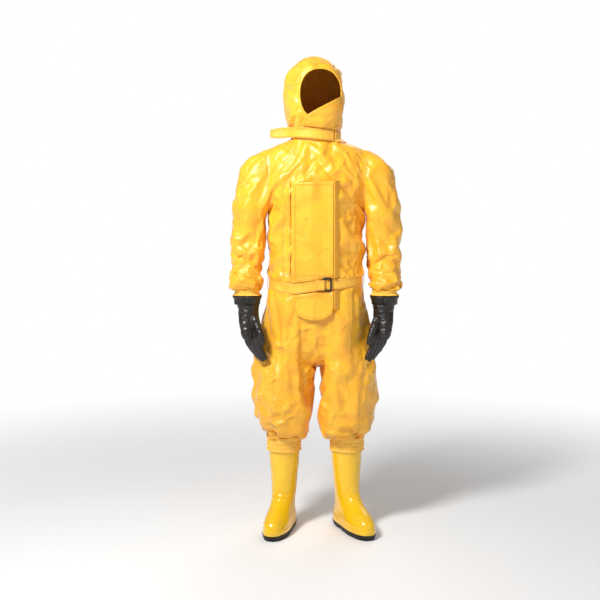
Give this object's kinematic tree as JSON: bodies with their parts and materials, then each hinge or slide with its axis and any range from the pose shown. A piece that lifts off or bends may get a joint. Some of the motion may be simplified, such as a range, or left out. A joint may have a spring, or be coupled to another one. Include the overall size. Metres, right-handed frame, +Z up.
{
  "type": "chemical protective suit",
  "caption": "One-piece chemical protective suit with hood, covered front zipper, buckled belt, neck strap, rubber gauntlet gloves and rubber boots, standing in its worn shape.",
  "frame": {"origin": "on the floor, under the middle of the suit's outer box", "axes": "+Z up, -Y the way that the chest faces, +X towards the wearer's left side"},
  "size_m": [0.664, 0.3432, 1.797],
  "materials": {
    "suit_fabric": "coated satin",
    "lining": "matt",
    "webbing": "satin",
    "elastic": "matt",
    "boot_rubber": "gloss",
    "sole_rubber": "matt",
    "glove_rubber": "satin",
    "dark_plastic": "gloss",
    "zipper_plastic": "satin",
    "zipper_metal": "brushed"
  },
  "bodies": {
    "torso": {"front_panel": "suit_fabric", "back_panel": "suit_fabric", "leg_gusset": "suit_fabric", "collar": "suit_fabric", "flap_welt_upper": "suit_fabric", "flap_welt_lower": "suit_fabric", "flap_underlap": "suit_fabric", "chest_pleat": "suit_fabric", "zipper_tape_right": "zipper_plastic", "zipper_tape_left": "zipper_plastic", "zipper_teeth": "zipper_plastic", "zipper_bottom_stop": "zipper_metal", "belt": "webbing", "belt_fold": "webbing", "belt_loop_right": "suit_fabric", "belt_loop_left": "suit_fabric", "belt_loop_back": "suit_fabric", "strap_patch": "webbing"},
    "hood": {"hood_right_panel": "suit_fabric", "hood_left_panel": "suit_fabric", "hood_crown_panel": "suit_fabric", "hood_chin_panel": "suit_fabric"},
    "chin_flap": {"chin_flap": "suit_fabric"},
    "neck_strap": {"neck_strap": "webbing"},
    "storm_flap": {"storm_flap_upper": "suit_fabric", "snap_cap": "suit_fabric"},
    "storm_flap_tail": {"storm_flap_lower": "suit_fabric"},
    "zip_slider": {"zipper_slider": "zipper_metal"},
    "zip_pull": {"zipper_pull": "zipper_metal"},
    "buckle": {"belt_buckle": "dark_plastic"},
    "arm_right": {"sleeve_cap_right": "suit_fabric", "sleeve_upper_right": "suit_fabric"},
    "forearm_right": {"sleeve_elbow_right": "suit_fabric", "sleeve_lower_right": "suit_fabric", "cuff_elastic_right": "elastic", "glove_gauntlet_right": "glove_rubber"},
    "hand_right": {"glove_hand_right": "glove_rubber"},
    "thigh_right": {"leg_hip_right": "suit_fabric", "leg_upper_right": "suit_fabric"},
    "shin_right": {"leg_knee_right": "suit_fabric", "leg_lower_right": "suit_fabric", "boot_band_right": "elastic", "boot_right": "boot_rubber", "boot_sole_right": "sole_rubber", "boot_insole_right": "lining"},
    "arm_left": {"sleeve_cap_left": "suit_fabric", "sleeve_upper_left": "suit_fabric"},
    "forearm_left": {"sleeve_elbow_left": "suit_fabric", "sleeve_lower_left": "suit_fabric", "cuff_elastic_left": "elastic", "glove_gauntlet_left": "glove_rubber"},
    "hand_left": {"glove_hand_left": "glove_rubber"},
    "thigh_left": {"leg_hip_left": "suit_fabric", "leg_upper_left": "suit_fabric"},
    "shin_left": {"leg_knee_left": "suit_fabric", "leg_lower_left": "suit_fabric", "boot_band_left": "elastic", "boot_left": "boot_rubber", "boot_sole_left": "sole_rubber", "boot_insole_left": "lining"}
  },
  "joints": [
    {"name": "hood_tip_back", "type": "hinge", "parent": "torso", "child": "hood", "pos_m": [-0.005, 0.1295, 1.508], "axis": [-1, 0, 0], "range_deg": [0, 20]},
    {"name": "chin_flap_open", "type": "hinge", "parent": "hood", "child": "chin_flap", "pos_m": [0.1025, 0.0035, 1.58], "axis": [0, 0, 1], "range_deg": [0, 90]},
    {"name": "neck_strap_open", "type": "hinge", "parent": "torso", "child": "neck_strap", "pos_m": [0.0698, -0.03, 1.506], "axis": [0, 0, 1], "range_deg": [0, 100]},
    {"name": "storm_flap_open", "type": "hinge", "parent": "torso", "child": "storm_flap", "pos_m": [0.0623, -0.1105, 1.16], "axis": [0, 0, 1], "range_deg": [0, 110]},
    {"name": "storm_flap_tail_open", "type": "hinge", "parent": "torso", "child": "storm_flap_tail", "pos_m": [0.0623, -0.1105, 0.875], "axis": [0, 0, 1], "range_deg": [0, 110]},
    {"name": "zip_slider_travel", "type": "slide", "parent": "torso", "child": "zip_slider", "axis": [0, 0, -1], "range_m": [0, 0.288]},
    {"name": "zip_pull_swing", "type": "hinge", "parent": "zip_slider", "child": "zip_pull", "pos_m": [-0.014, -0.1009, 1.3105], "axis": [-1, 0, 0], "range_deg": [0, 8]},
    {"name": "belt_buckle_lift", "type": "hinge", "parent": "torso", "child": "buckle", "pos_m": [0.026, -0.1037, 0.955], "axis": [0, 0, -1], "range_deg": [0, 40]},
    {"name": "shoulder_right", "type": "hinge", "parent": "torso", "child": "arm_right", "pos_m": [-0.205, 0.0375, 1.33], "axis": [0, 1, 0], "range_deg": [0, 60], "deforming": ["sleeve_cap_right"]},
    {"name": "elbow_right", "type": "hinge", "parent": "arm_right", "child": "forearm_right", "pos_m": [-0.26, 0.0315, 1.085], "axis": [-1, 0, 0], "range_deg": [0, 70], "deforming": ["sleeve_elbow_right"]},
    {"name": "wrist_right", "type": "hinge", "parent": "forearm_right", "child": "hand_right", "pos_m": [-0.255, -0.0145, 0.8447], "axis": [-0.7174, 0.6967, 0], "range_deg": [0, 35], "deforming": ["glove_hand_right"]},
    {"name": "hip_right", "type": "hinge", "parent": "torso", "child": "thigh_right", "pos_m": [-0.11, 0.0375, 0.72], "axis": [-1, 0, 0], "range_deg": [-10, 20], "deforming": ["leg_hip_right"]},
    {"name": "knee_right", "type": "hinge", "parent": "thigh_right", "child": "shin_right", "pos_m": [-0.116, 0.0375, 0.472], "axis": [1, 0, 0], "range_deg": [0, 60], "deforming": ["leg_knee_right"]},
    {"name": "shoulder_left", "type": "hinge", "parent": "torso", "child": "arm_left", "pos_m": [0.205, 0.0375, 1.33], "axis": [0, -1, 0], "range_deg": [0, 60], "deforming": ["sleeve_cap_left"]},
    {"name": "elbow_left", "type": "hinge", "parent": "arm_left", "child": "forearm_left", "pos_m": [0.26, 0.0315, 1.085], "axis": [-1, 0, 0], "range_deg": [0, 70], "deforming": ["sleeve_elbow_left"]},
    {"name": "wrist_left", "type": "hinge", "parent": "forearm_left", "child": "hand_left", "pos_m": [0.255, -0.0145, 0.8447], "axis": [-0.7174, -0.6967, 0], "range_deg": [0, 35], "deforming": ["glove_hand_left"]},
    {"name": "hip_left", "type": "hinge", "parent": "torso", "child": "thigh_left", "pos_m": [0.11, 0.0375, 0.72], "axis": [-1, 0, 0], "range_deg": [-10, 20], "deforming": ["leg_hip_left"]},
    {"name": "knee_left", "type": "hinge", "parent": "thigh_left", "child": "shin_left", "pos_m": [0.116, 0.0375, 0.472], "axis": [1, 0, 0], "range_deg": [0, 60], "deforming": ["leg_knee_left"]}
  ]
}
